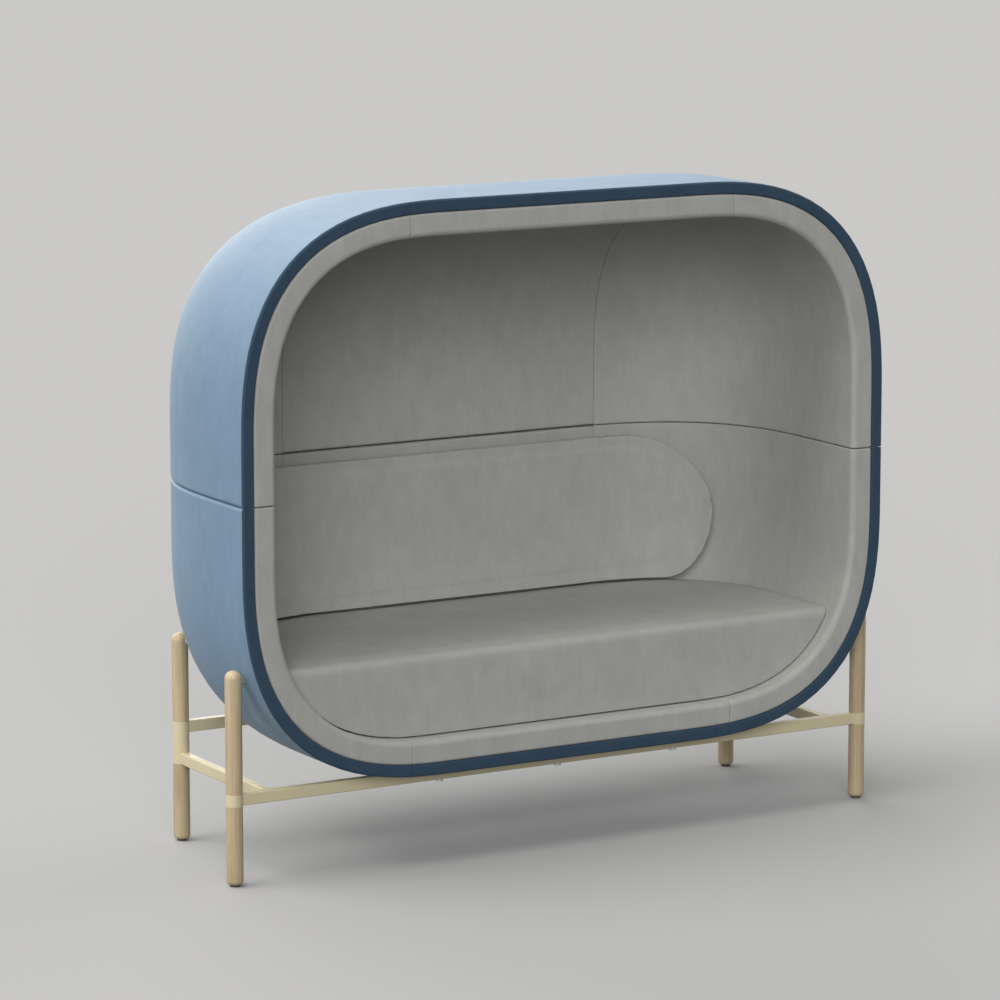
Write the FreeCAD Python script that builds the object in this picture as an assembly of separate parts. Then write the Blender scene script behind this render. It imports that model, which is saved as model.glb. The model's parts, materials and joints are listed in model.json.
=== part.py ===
import FreeCAD, Part
import math
import os

Vec = FreeCAD.Vector

# High-backed two-seater sofa: a rounded, open-fronted shell on a steel underframe and four wooden legs.
# Millimetres. +X points right as seen from the front, +Y to the back and +Z up, and left and right in the
# names are as seen from the front. The origin is on the floor, under the middle of the sofa.

# Shell
shell_width = 1622.0
shell_height = 1250.0
shell_depth = 650.0
shell_lift = 202.5           # underside of the shell above the floor
corner_radius = 401.0        # front corners and every rear edge

# Wall, from outside to inside
cover_thickness = 12.5       # padded outer cover
shell_thickness = 15.0       # moulded plywood
band_depth = 6.0             # padded edge band, front to back
band_round = 4.0
side_wall = 79.5             # outer face to lining face at the sides, top and bottom
back_wall = 58.0             # outer face to lining face at the back
lip_round = 5.0              # rolled front edge of the lining
seam_spacing = 815.0         # between the two upright seams
seam_gap = 0.8
fit_gap = 0.3                # between pieces that seat on each other

# Seat
seat_height = 466.0
seat_setback = 36.0          # front of the seat behind the front of the shell
seat_front_round = 22.0
seat_front_bulge = 5.0
seat_crown = 8.0             # rise of the top over its front and rear edges
seat_board_setback = 30.0    # behind the foot of the seat's front
seat_board_rear_gap = 9.0    # to the end of the flat floor of the cabin
seat_board_side_gap = 30.0
seat_board_thickness = 15.0

# Back cushion, which stands on the seat
back_cushion_side_gap = 99.0 # from each end to the wall of the cabin
back_cushion_top = 806.0
back_cushion_upper_corner = 178.0
back_cushion_lower_corner = 115.0
back_cushion_thickness = 46.0
back_cushion_round = 18.0
back_board_side_gap = 60.0   # to the end of the flat back of the cabin
back_board_height = 150.0
back_board_thickness = 12.0

# Legs
leg_height = 470.0
leg_radius = 18.3
leg_foot_round = 9.0
front_leg_setback = 72.0
front_spacer = 2.2           # between a front leg and the shell, at the bolt
rear_spacer = 3.2
rear_leg_angle = 38.3        # round the rear corner, from the side towards the back

# Underframe
rail_width = 20.0
rail_height = 26.0
rail_wall = 2.0
front_collar_height = 27.0
rail_pad_thickness = 1.0
rail_pad_length = 80.0
rail_pad_spacing = 300.0
saddle_thickness = 7.0       # least thickness, at the front edge of the rear rail
saddle_length = 80.0
saddle_spacing = 600.0

# Levelling glides
glide_radius = 10.5
glide_thickness = 3.0
glide_round = 1.0
glide_travel = 10.0
glide_stem_radius = 4.0
glide_stem_length = 26.0
glide_insert_length = 22.0
insert_wall = 2.0

# Fasteners
hole_clearance = 0.3         # on the radius
stud_radius = 5.0
stud_reach = 35.0            # into the wood at each end
bolt_radius = 4.0
bolt_head_radius = 8.0
bolt_head_height = 5.0
head_room = 2.0              # round bolt heads and plates, in the lining
leg_insert_length = 14.0
leg_insert_depth = 1.0       # below the surface of the leg
leg_spacer_radius = 11.0
nut_flange_radius = 11.0
nut_flange_height = 2.0
nut_wall = 1.6
seat_bolt_end_gap = 130.0    # to the ends of the seat board
seat_bolt_edge_gap = 45.0    # to its front and rear edges
anchor_depth = 9.0           # of bolts, studs, clips and screws in the plywood
back_stud_radius = 5.0
back_stud_end_gap = 70.0     # to the ends of the back board
back_stud_edge_gap = 30.0    # to its top and bottom
clip_radius = 4.0
clip_reach = 20.0            # into the lining
side_clip_spacing = 120.0
side_clip_level = 110.0      # above and below the level seam
back_clip_spacing = 420.0
back_clip_level = 160.0
roof_clip_spacing = 700.0
plate_width = 40.0
plate_height = 80.0
plate_thickness = 3.0
side_plate_spacing = 110.0
back_plate_spacing = 490.0
plate_screw_spacing = 40.0
plate_screw_radius = 2.5
plate_screw_head_radius = 4.5
plate_screw_head_height = 2.5
dowel_radius = 4.0
dowel_length = 60.0
back_dowel_spacing = 370.0

# Places that follow from the sizes
half_width = shell_width / 2
front_y = -shell_depth / 2
rear_y = shell_depth / 2
top_z = shell_lift + shell_height
seam_z = shell_lift + shell_height / 2
seam_x = seam_spacing / 2
floor_z = shell_lift + side_wall
lining_y = rear_y - back_wall
corner_x = half_width - corner_radius
corner_y = rear_y - corner_radius
corner_z = shell_lift + corner_radius
flat_y = (front_y + corner_y) / 2        # middle of the flat of the side walls
shell_outside = cover_thickness + fit_gap
shell_inside = shell_outside + shell_thickness
lining_outside = shell_inside + fit_gap
bolt_hole_radius = bolt_radius + hole_clearance
rail_top = shell_lift - rail_pad_thickness
rail_bottom = rail_top - rail_height
leg_bottom = glide_thickness + fit_gap
leg_bolt_z = leg_height - leg_radius     # where the dome of the leg begins
seat_board_bottom = floor_z + fit_gap
seat_board_top = seat_board_bottom + seat_board_thickness
beyond = 2 * max(shell_width, shell_height, shell_depth)

along_x = Vec(1, 0, 0)
along_y = Vec(0, 1, 0)
up = Vec(0, 0, 1)

parts = {}


def box(x0, x1, y0, y1, z0, z1):
    return Part.makeBox(x1 - x0, y1 - y0, z1 - z0, Vec(x0, y0, z0))


def rod(start, direction, radius, length):
    return Part.makeCylinder(radius, length, start, direction)


def tube(start, direction, outer_radius, inner_radius, length):
    return rod(start, direction, outer_radius, length).cut(rod(start, direction, inner_radius, length))


def bolt(place, direction, length):
    head = rod(place - direction * bolt_head_height, direction, bolt_head_radius, bolt_head_height)
    return rod(place, direction, bolt_radius, length).fuse(head)


def group(shapes):
    return Part.makeCompound(shapes)


def middle_of(edge):
    return edge.valueAt((edge.FirstParameter + edge.LastParameter) / 2)


def lies_on(edge, surface):
    return surface.distToShape(Part.Vertex(middle_of(edge)))[0] < 0.01


# The shell is one rounded form, moved in from the outer face to make each layer of the wall

def rounded_form(side_inset, back_inset, start_y):
    body = box(-half_width + side_inset, half_width - side_inset, start_y, rear_y - back_inset,
               shell_lift + side_inset, top_z - side_inset)
    front_edges = [edge for edge in body.Edges if abs(edge.BoundBox.YMax - start_y) < 0.001]
    rounded = [edge for edge in body.Edges if not any(edge.isSame(front) for front in front_edges)]
    return body.makeFillet(corner_radius - side_inset, rounded)


def outer_form(inset, start_y):
    return rounded_form(inset, inset, start_y)


def cabin_form(inset, start_y):
    return rounded_form(side_wall + inset, back_wall + inset, start_y)


def wall_layer(outside, inside, start_y):
    return outer_form(outside, start_y).cut(outer_form(inside, start_y - band_depth))


def level_spaces():
    upper = box(-beyond, beyond, -beyond, beyond, seam_z + seam_gap / 2, beyond)
    lower = box(-beyond, beyond, -beyond, beyond, -beyond, seam_z - seam_gap / 2)
    return {"upper": upper, "lower": lower}


def column_spaces():
    inner, outer = seam_x - seam_gap / 2, seam_x + seam_gap / 2
    return {"left": box(-beyond, -outer, -beyond, beyond, -beyond, beyond),
            "middle": box(-inner, inner, -beyond, beyond, -beyond, beyond),
            "right": box(outer, beyond, -beyond, beyond, -beyond, beyond)}


def split_panels(layer, name):
    for level, level_space in level_spaces().items():
        for side, column_space in column_spaces().items():
            panel = layer.common(level_space).common(column_space)
            parts["_".join((level, side, name))] = panel


# The legs stand beside the shell, close to it where their domes begin

def section_radius(inset):
    """Radius of the shell's corner, moved in, in a level cut at the height of the leg bolts."""
    return math.sqrt((corner_radius - inset) ** 2 - (corner_z - leg_bolt_z) ** 2)


def rear_surface_z(inset, y):
    """Height of the shell's rounded rear underside, moved in, at a place on Y."""
    return corner_z - math.sqrt((corner_radius - inset) ** 2 - (y - corner_y) ** 2)


front_leg_x = corner_x + section_radius(0) + front_spacer + leg_radius
front_leg_y = front_y + front_leg_setback
rear_leg_distance = section_radius(0) + rear_spacer + leg_radius
rear_leg_x = corner_x + rear_leg_distance * math.cos(math.radians(rear_leg_angle))
rear_leg_y = corner_y + rear_leg_distance * math.sin(math.radians(rear_leg_angle))
rear_rail_top = rear_surface_z(0, rear_leg_y - rail_width / 2) - saddle_thickness


def leg_places():
    """Axis, collar ends, spacer and direction towards the shell of each leg."""
    places = {}
    for side, sign in (("left", -1), ("right", 1)):
        places["front_" + side] = {
            "axis": Vec(sign * front_leg_x, front_leg_y, 0), "spacer": front_spacer,
            "collar_bottom": rail_top - front_collar_height, "collar_top": rail_top,
            "inward": Vec(-sign, 0, 0)}
        places["rear_" + side] = {
            "axis": Vec(sign * rear_leg_x, rear_leg_y, 0), "spacer": rear_spacer,
            "collar_bottom": rail_bottom, "collar_top": rear_rail_top,
            "inward": Vec(sign * (corner_x - rear_leg_x), corner_y - rear_leg_y, 0).normalize()}
    return places


legs = leg_places()


def leg_bolt_point(leg, distance):
    return leg["axis"] + up * leg_bolt_z + leg["inward"] * distance


def leg_bolt_reach(leg):
    """From the leg's axis to the bolt head, which clears the sloping inner face of the plywood."""
    inner_radius = section_radius(shell_inside)
    slope = (corner_z - leg_bolt_z) / inner_radius
    wall = section_radius(0) - inner_radius
    return leg_radius + leg["spacer"] + wall + bolt_head_radius * slope + fit_gap


def leg_bolt_holes():
    return [rod(leg_bolt_point(leg, 0), leg["inward"], bolt_hole_radius, leg_bolt_reach(leg))
            for leg in legs.values()]


def leg_posts(radius):
    return group([rod(leg["axis"], up, radius, leg_height) for leg in legs.values()])


leg_insert_radius = bolt_hole_radius + insert_wall
glide_insert_radius = glide_stem_radius + hole_clearance + insert_wall


def make_lower_leg(leg, stud_hole):
    start = leg["axis"] + up * leg_bottom
    body = rod(start, up, leg_radius, leg["collar_bottom"] - leg_bottom)
    foot_edges = [edge for edge in body.Edges if abs(edge.BoundBox.ZMax - leg_bottom) < 0.001]
    glide_hole = rod(start, up, glide_insert_radius + hole_clearance, glide_stem_length + glide_travel)
    return body.makeFillet(leg_foot_round, foot_edges).cut(stud_hole).cut(glide_hole)


def make_upper_leg(leg, stud_hole):
    straight = rod(leg["axis"] + up * leg["collar_top"], up, leg_radius, leg_bolt_z - leg["collar_top"])
    dome = Part.makeSphere(leg_radius, leg["axis"] + up * leg_bolt_z)
    depth = leg_insert_depth + leg_insert_length
    insert_hole = rod(leg_bolt_point(leg, leg_radius - depth), leg["inward"],
                      leg_insert_radius + hole_clearance, 2 * depth)
    return straight.fuse(dome).removeSplitter().cut(stud_hole).cut(insert_hole)


def make_glide(leg):
    foot = rod(leg["axis"], up, glide_radius, glide_thickness)
    rim = [edge for edge in foot.Edges if abs(edge.BoundBox.ZMin - glide_thickness) < 0.001]
    stem = rod(leg["axis"] + up * glide_thickness, up, glide_stem_radius, glide_stem_length)
    return foot.makeFillet(glide_round, rim).fuse(stem)


def make_legs():
    """Wooden legs in two lengths, joined by a stud through a steel collar, with a levelling glide."""
    studs, inserts = [], []
    for name, leg in legs.items():
        collar_height = leg["collar_top"] - leg["collar_bottom"]
        collar_start = leg["axis"] + up * leg["collar_bottom"]
        stud_length = collar_height + 2 * stud_reach
        stud_hole = rod(collar_start - up * (stud_reach + fit_gap), up, stud_radius + hole_clearance,
                        stud_length + 2 * fit_gap)
        parts[name + "_lower_leg"] = make_lower_leg(leg, stud_hole)
        parts[name + "_upper_leg"] = make_upper_leg(leg, stud_hole)
        parts[name + "_collar"] = tube(collar_start, up, leg_radius, stud_radius + hole_clearance,
                                       collar_height)
        parts[name + "_glide"] = make_glide(leg)
        studs.append(rod(collar_start - up * stud_reach, up, stud_radius, stud_length))
        inserts.append(tube(leg["axis"] + up * leg_bottom, up, glide_insert_radius,
                            glide_stem_radius + hole_clearance, glide_insert_length))
    parts["leg_studs"] = group(studs)
    parts["glide_inserts"] = group(inserts)


def make_leg_fixings():
    """Bolts from inside the shell into threaded inserts in the upper legs, with spacers outside it."""
    bolts, inserts, spacers = [], [], []
    body = outer_form(-fit_gap, front_y)
    posts = leg_posts(leg_radius + fit_gap)
    for leg in legs.values():
        inward = leg["inward"]
        head_at = leg_bolt_reach(leg)
        bolt_length = head_at - leg_radius + leg_insert_length
        bolts.append(bolt(leg_bolt_point(leg, head_at), inward * -1, bolt_length))
        insert_start = leg_radius - leg_insert_depth - leg_insert_length
        inserts.append(tube(leg_bolt_point(leg, insert_start), inward, leg_insert_radius, bolt_hole_radius,
                            leg_insert_length))
        sleeve = tube(leg_bolt_point(leg, 0), inward, leg_spacer_radius, bolt_hole_radius, head_at)
        spacers.append(sleeve.cut(posts).cut(body))
    parts["leg_bolts"] = group(bolts)
    parts["leg_bolt_inserts"] = group(inserts)
    parts["leg_spacers"] = group(spacers)


# The underframe is four rectangular tubes, welded to the collars

def make_rail(x0, x1, y0, y1, top):
    low, high = top - rail_height + rail_wall, top - rail_wall
    if x1 - x0 > y1 - y0:
        hollow = box(x0 - beyond, x1 + beyond, y0 + rail_wall, y1 - rail_wall, low, high)
    else:
        hollow = box(x0 + rail_wall, x1 - rail_wall, y0 - beyond, y1 + beyond, low, high)
    return box(x0, x1, y0, y1, top - rail_height, top).cut(hollow)


def rail_bolt_spans():
    """Lower end and length of each upright bolt between a rail and the plywood."""
    anchor_inset = shell_outside + anchor_depth
    front_length = shell_lift + anchor_inset - rail_bottom
    spans = [(Vec(x, front_leg_y, rail_bottom), front_length) for x in front_pad_places()]
    rear_bottom = rear_rail_top - rail_height
    rear_length = rear_surface_z(anchor_inset, rear_leg_y) - rear_bottom
    spans += [(Vec(x, rear_leg_y, rear_bottom), rear_length) for x in saddle_places()]
    return spans


def front_pad_places():
    return [-rail_pad_spacing, 0.0, rail_pad_spacing]


def saddle_places():
    return [-saddle_spacing / 2, saddle_spacing / 2]


def rail_bolt_holes():
    return [rod(place, up, bolt_hole_radius, length + fit_gap) for place, length in rail_bolt_spans()]


def make_underframe():
    half = rail_width / 2
    collars = leg_posts(leg_radius + fit_gap)
    holes = group(rail_bolt_holes())
    front = make_rail(-front_leg_x, front_leg_x, front_leg_y - half, front_leg_y + half, rail_top)
    rear = make_rail(-rear_leg_x, rear_leg_x, rear_leg_y - half, rear_leg_y + half, rear_rail_top)
    parts["front_rail"] = front.cut(collars).cut(holes)
    parts["rear_rail"] = rear.cut(collars).cut(holes)
    for side, x in (("left", -rear_leg_x), ("right", rear_leg_x)):
        cross = make_rail(x - half, x + half, front_leg_y + half, rear_leg_y, rail_top)
        parts[side + "_cross_rail"] = cross.cut(collars)


def make_rail_fixings():
    """Flat pads on the front rail and shaped saddles on the rear rail, with the bolts through both."""
    half = rail_width / 2
    holes = group(rail_bolt_holes())
    body = outer_form(-fit_gap, front_y)
    pads = [box(x - rail_pad_length / 2, x + rail_pad_length / 2, front_leg_y - half, front_leg_y + half,
                rail_top, shell_lift) for x in front_pad_places()]
    blocks = [box(x - saddle_length / 2, x + saddle_length / 2, rear_leg_y - half, rear_leg_y + half,
                  rear_rail_top, corner_z) for x in saddle_places()]
    parts["front_rail_pads"] = group([pad.cut(holes) for pad in pads])
    parts["rear_saddles"] = group([block.cut(body).cut(holes) for block in blocks])
    parts["rail_bolts"] = group([bolt(place, up, length) for place, length in rail_bolt_spans()])


# Fixings between the plywood and what lies on it: each is a start point, an outward direction and a length

def clip_lines():
    """Push-in clips of the lining, on the flats of the walls, roof and floor."""
    lines = []
    start = lining_outside + clip_reach
    for level in (-1, 1):
        for sign in (-1, 1):
            for y in (flat_y - side_clip_spacing / 2, flat_y + side_clip_spacing / 2):
                place = Vec(sign * (half_width - start), y, seam_z + level * side_clip_level)
                lines.append((place, Vec(sign, 0, 0)))
            place = Vec(sign * back_clip_spacing / 2, rear_y - start, seam_z + level * back_clip_level)
            lines.append((place, along_y))
            place = Vec(sign * roof_clip_spacing / 2, flat_y, seam_z + level * (shell_height / 2 - start))
            lines.append((place, up * level))
    return lines


clip_length = clip_reach + fit_gap + anchor_depth


def clip_holes():
    return [rod(place, way, clip_radius + hole_clearance, clip_length + fit_gap)
            for place, way in clip_lines()]


def plate_frames():
    """Middle on the inner face of the plywood, outward direction and width direction of each plate."""
    frames = []
    for sign in (-1, 1):
        for y in (flat_y - side_plate_spacing / 2, flat_y + side_plate_spacing / 2):
            frames.append((Vec(sign * (half_width - shell_inside), y, seam_z), Vec(sign, 0, 0), along_y))
        frames.append((Vec(sign * back_plate_spacing / 2, rear_y - shell_inside, seam_z), along_y, along_x))
    return frames


def plate_block(frame, margin, depth):
    middle, out, across = frame
    half_size = across * (plate_width / 2 + margin) + up * (plate_height / 2 + margin)
    corners = (middle - half_size - out * depth, middle + half_size)
    x0, x1 = sorted(corner.x for corner in corners)
    y0, y1 = sorted(corner.y for corner in corners)
    return box(x0, x1, y0, y1, corners[0].z, corners[1].z)


def plate_screw_lines():
    return [(frame[0] + up * (sign * plate_screw_spacing / 2) - frame[1] * plate_thickness, frame[1])
            for frame in plate_frames() for sign in (-1, 1)]


def plate_screw_holes():
    return [rod(place, way, plate_screw_radius + hole_clearance, plate_thickness + anchor_depth + fit_gap)
            for place, way in plate_screw_lines()]


def dowel_places():
    middle = shell_outside + shell_thickness / 2
    low = seam_z - dowel_length / 2
    places = [Vec(sign * (half_width - middle), flat_y, low) for sign in (-1, 1)]
    places += [Vec(x, rear_y - middle, low) for x in (-back_dowel_spacing, 0.0, back_dowel_spacing)]
    return places


def dowel_holes():
    return [rod(place - up * fit_gap, up, dowel_radius + hole_clearance, dowel_length + 2 * fit_gap)
            for place in dowel_places()]


def make_shell_joint():
    """Steel plates with screws, and wooden dowels, across the level seam of the plywood."""
    holes = group(plate_screw_holes())
    plates = [plate_block(frame, 0, plate_thickness).cut(holes) for frame in plate_frames()]
    screws = []
    for place, way in plate_screw_lines():
        shank = rod(place, way, plate_screw_radius, plate_thickness + anchor_depth)
        head = rod(place - way * plate_screw_head_height, way, plate_screw_head_radius,
                   plate_screw_head_height)
        screws.append(shank.fuse(head))
    parts["joining_plates"] = group(plates)
    parts["plate_screws"] = group(screws)
    parts["shell_dowels"] = group([rod(place, up, dowel_radius, dowel_length) for place in dowel_places()])


# Seat and back cushion with their boards

cabin_corner_y = lining_y - corner_radius + side_wall
seat_foot_y = front_y + seat_setback + seat_front_bulge
seat_board_front = seat_foot_y + seat_board_setback
seat_board_rear = cabin_corner_y - seat_board_rear_gap
seat_board_half = corner_x - seat_board_side_gap


def seat_bolt_places():
    half_spread = seat_board_half - seat_bolt_end_gap
    return [Vec(x, y, shell_lift) for x in (-half_spread, half_spread)
            for y in (seat_board_front + seat_bolt_edge_gap, seat_board_rear - seat_bolt_edge_gap)]


def seat_bolt_holes():
    return [rod(place, up, bolt_hole_radius, seat_board_top - shell_lift) for place in seat_bolt_places()]


def seat_profile():
    """Side view of the seat: bulged front, rolled front edge and crowned top."""
    edge_z = seat_height - seat_crown
    shoulder_z = edge_z - seat_front_round
    roll = seat_front_round * (1 - math.sqrt(0.5))

    base_front = Vec(-beyond, seat_foot_y, 0)
    knee = Vec(-beyond, seat_foot_y, floor_z)
    belly = Vec(-beyond, seat_foot_y - seat_front_bulge, (floor_z + shoulder_z) / 2)
    shoulder = Vec(-beyond, seat_foot_y, shoulder_z)
    nose = Vec(-beyond, seat_foot_y + roll, edge_z - roll)
    front_edge = Vec(-beyond, seat_foot_y + seat_front_round, edge_z)
    crest = Vec(-beyond, (seat_foot_y + rear_y) / 2, seat_height)
    rear_edge = Vec(-beyond, rear_y, edge_z)
    base_rear = Vec(-beyond, rear_y, 0)
    outline = [Part.LineSegment(base_front, knee), Part.Arc(knee, belly, shoulder),
               Part.Arc(shoulder, nose, front_edge), Part.Arc(front_edge, crest, rear_edge),
               Part.LineSegment(rear_edge, base_rear), Part.LineSegment(base_rear, base_front)]
    face = Part.Face(Part.Wire([curve.toShape() for curve in outline]))
    return face.extrude(Vec(2 * beyond, 0, 0))


def make_seat():
    nut_radius = bolt_hole_radius + nut_wall
    board = box(-seat_board_half, seat_board_half, seat_board_front, seat_board_rear,
                seat_board_bottom, seat_board_top)
    room = box(-seat_board_half - fit_gap, seat_board_half + fit_gap, seat_board_front - fit_gap,
               seat_board_rear + fit_gap, 0, seat_board_top + nut_flange_height + fit_gap)
    nuts, nut_holes = [], []
    for place in seat_bolt_places():
        low = Vec(place.x, place.y, seat_board_bottom)
        top = Vec(place.x, place.y, seat_board_top)
        barrel = rod(low, up, nut_radius, seat_board_thickness)
        flange = rod(top, up, nut_flange_radius, nut_flange_height)
        bore = rod(low, up, bolt_hole_radius, seat_board_thickness + nut_flange_height)
        nuts.append(barrel.fuse(flange).cut(bore))
        nut_holes.append(rod(low, up, nut_radius + hole_clearance, seat_board_thickness))
    parts["seat_board"] = board.cut(group(nut_holes))
    parts["seat_nuts"] = group(nuts)
    bolt_length = seat_board_top - shell_lift
    parts["seat_bolts"] = group([bolt(place, up, bolt_length) for place in seat_bolt_places()])
    parts["seat_cushion"] = seat_profile().common(cabin_form(fit_gap, front_y)).cut(room)


back_board_y = lining_y - fit_gap - back_board_thickness
back_board_z = (corner_z + back_cushion_top) / 2
back_board_half = corner_x - back_board_side_gap
back_stud_length = rear_y - shell_inside + anchor_depth - back_board_y


def back_stud_places():
    half_spread = back_board_half - back_stud_end_gap
    half_rise = back_board_height / 2 - back_stud_edge_gap
    return [Vec(x, back_board_y, back_board_z + z) for x in (-half_spread, half_spread)
            for z in (-half_rise, half_rise)]


def back_stud_holes():
    return [rod(place, along_y, back_stud_radius + hole_clearance, back_stud_length + fit_gap)
            for place in back_stud_places()]


def cushion_outline():
    """Front view of the back cushion, its upper corners rounder than the lower ones, through its room."""
    half = half_width - side_wall - back_cushion_side_gap
    foot_z = seat_height + fit_gap
    block = box(-half, half, corner_y, rear_y, foot_z, back_cushion_top)
    lengthwise = [edge for edge in block.Edges if abs(edge.tangentAt(edge.FirstParameter).y) > 0.5]
    upper = [edge for edge in lengthwise if abs(edge.BoundBox.ZMax - back_cushion_top) < 0.001]
    block = block.makeFillet(back_cushion_upper_corner, upper)
    lower = [edge for edge in block.Edges
             if edge.BoundBox.ZMax - foot_z < 0.001 and edge.BoundBox.XLength < 0.001]
    return block.makeFillet(back_cushion_lower_corner, lower)


def make_back_cushion():
    """Pad of one thickness on the rounded back of the cabin, cut to its outline and rolled at its front rim."""
    outline = cushion_outline()
    front = cabin_form(fit_gap + back_cushion_thickness, front_y - band_depth)
    pad = cabin_form(fit_gap, front_y).cut(front).common(outline)
    front_skin, outline_skin = Part.Shell(front.Faces), Part.Shell(outline.Faces)
    rim = [edge for edge in pad.Edges if lies_on(edge, front_skin) and lies_on(edge, outline_skin)]
    pad = pad.makeFillet(back_cushion_round, rim)

    half_h = back_board_height / 2
    board = box(-back_board_half, back_board_half, back_board_y, lining_y - fit_gap,
                back_board_z - half_h, back_board_z + half_h)
    room = box(-back_board_half - fit_gap, back_board_half + fit_gap, back_board_y - fit_gap, rear_y,
               back_board_z - half_h - fit_gap, back_board_z + half_h + fit_gap)
    studs = [rod(place, along_y, back_stud_radius, back_stud_length) for place in back_stud_places()]
    parts["back_board"] = board.cut(group(back_stud_holes()))
    parts["back_studs"] = group(studs)
    parts["back_cushion"] = pad.cut(room)


# Walls of the shell

def make_shell():
    start = front_y + band_depth + fit_gap
    passing = rail_bolt_holes() + seat_bolt_holes() + leg_bolt_holes()
    anchored = back_stud_holes() + clip_holes() + plate_screw_holes() + dowel_holes()
    plywood = wall_layer(shell_outside, shell_inside, start).cut(group(passing + anchored))
    cover = wall_layer(0, cover_thickness, start).cut(group(passing))
    spaces = level_spaces()
    for name, level in (("hood", "upper"), ("tub", "lower")):
        parts[name + "_shell"] = plywood.common(spaces[level])
        parts[name + "_cover"] = cover.common(spaces[level])


def make_edge_band():
    front = box(-beyond, beyond, front_y, front_y + band_depth, -beyond, beyond)
    ring = wall_layer(0, shell_inside, front_y).common(front)
    front_edges = [edge for edge in ring.Edges if abs(edge.BoundBox.YMax - front_y) < 0.001]
    split_panels(ring.makeFillet(band_round, front_edges), "edge_band")


def make_lining():
    cabin = cabin_form(0, front_y - band_depth)
    layer = outer_form(lining_outside, front_y).cut(cabin)
    cabin_skin = Part.Shell(cabin.Faces)
    lip = [edge for edge in layer.Edges
           if abs(edge.BoundBox.YMax - front_y) < 0.001 and lies_on(edge, cabin_skin)]
    rooms = seat_bolt_holes() + back_stud_holes() + clip_holes()
    for leg in legs.values():
        depth = leg_bolt_reach(leg) + bolt_head_height + head_room
        rooms.append(rod(leg_bolt_point(leg, 0), leg["inward"], bolt_head_radius + head_room, depth))
    plate_room = plate_thickness + plate_screw_head_height + head_room
    rooms += [plate_block(frame, head_room, plate_room) for frame in plate_frames()]
    split_panels(layer.makeFillet(lip_round, lip).cut(group(rooms)), "lining")
    parts["lining_clips"] = group([rod(place, way, clip_radius, clip_length) for place, way in clip_lines()])


make_legs()
make_leg_fixings()
make_underframe()
make_rail_fixings()
make_shell()
make_shell_joint()
make_edge_band()
make_lining()
make_seat()
make_back_cushion()

os.makedirs("parts", exist_ok=True)
for node, shape in parts.items():
    shape.exportStep("parts/" + node + ".step")
    print(node, len(shape.Solids), "solids", round(shape.Volume / 1000.0, 1), "cm3", shape.isValid())
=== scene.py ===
import json
import math

import bpy
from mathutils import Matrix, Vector


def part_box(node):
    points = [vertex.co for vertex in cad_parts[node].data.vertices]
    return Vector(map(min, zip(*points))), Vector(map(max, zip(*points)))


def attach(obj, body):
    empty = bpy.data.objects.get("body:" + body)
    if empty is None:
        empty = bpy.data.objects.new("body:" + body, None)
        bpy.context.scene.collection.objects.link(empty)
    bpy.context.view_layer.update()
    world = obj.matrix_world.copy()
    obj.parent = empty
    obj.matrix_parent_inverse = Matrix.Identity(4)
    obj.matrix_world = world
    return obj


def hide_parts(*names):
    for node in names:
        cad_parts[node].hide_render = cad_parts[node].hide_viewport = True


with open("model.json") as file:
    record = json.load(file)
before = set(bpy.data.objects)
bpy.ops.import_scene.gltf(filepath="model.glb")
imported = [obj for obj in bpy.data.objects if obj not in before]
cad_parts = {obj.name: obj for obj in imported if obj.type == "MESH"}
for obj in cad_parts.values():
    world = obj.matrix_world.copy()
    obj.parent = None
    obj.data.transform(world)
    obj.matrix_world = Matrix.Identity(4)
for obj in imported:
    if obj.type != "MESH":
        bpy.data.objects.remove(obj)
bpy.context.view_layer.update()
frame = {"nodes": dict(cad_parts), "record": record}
nodes = frame["nodes"]
scene = bpy.context.scene

# metres; the shell's outline is a rounded box, and each layer of the wall is the same box moved inwards
shell = {
    "halfWidth": 0.811, "bottom": 0.2025, "top": 1.4525, "front": -0.325, "back": 0.325,
    "corner": 0.503, "roundness": 0.593, "steps": 24,
    "seamX": 0.4075, "seamZ": 0.8275, "levelGap": 0.0018, "middleGap": 0.0036, "uprightGap": 0.0006,
}

cornerPower = -math.log(2) / math.log(math.sqrt(shell["roundness"]))  # of the curve that such a bevel draws
smoothAngle = math.radians(38)  # edges sharper than this stay crisp
legPlaces = ("front_left", "front_right", "rear_left", "rear_right")
panels = [(level, up, side) for level, up in (("upper", 1), ("lower", -1))
          for side in ("left", "middle", "right")]


def camelName(node):
    first, *others = node.split("_")
    return first + "".join(word.title() for word in others)


def isAt(value, plane, slack=0.00005):
    # on the plane, apart from rounding
    return abs(value - plane) < slack


def isAlong(corners, axis):
    # an edge that runs along x, y or z, which are 0, 1 and 2
    return not isAt(corners[0][axis], corners[1][axis])


def activate(obj):
    bpy.ops.object.select_all(action="DESELECT")
    obj.select_set(True)
    bpy.context.view_layer.objects.active = obj


def pick(obj, kind, test):
    # leaves the object in edit mode with only what passes the test selected
    activate(obj)
    bpy.ops.object.mode_set(mode="EDIT")
    bpy.ops.mesh.select_mode(type=kind)
    bpy.ops.mesh.select_all(action="DESELECT")
    bpy.ops.object.mode_set(mode="OBJECT")
    mesh = obj.data
    items = {"VERT": mesh.vertices, "EDGE": mesh.edges, "FACE": mesh.polygons}[kind]
    for item in items:
        corners = [item.co] if kind == "VERT" else [mesh.vertices[i].co for i in item.vertices]
        item.select = test(corners)
    bpy.ops.object.mode_set(mode="EDIT")


def objectMode():
    bpy.ops.object.mode_set(mode="OBJECT")


def copyOf(obj, name):
    twin = obj.copy()
    twin.data = obj.data.copy()
    twin.name = name
    scene.collection.objects.link(twin)
    return twin


def discard(obj):
    bpy.data.objects.remove(obj)


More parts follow.
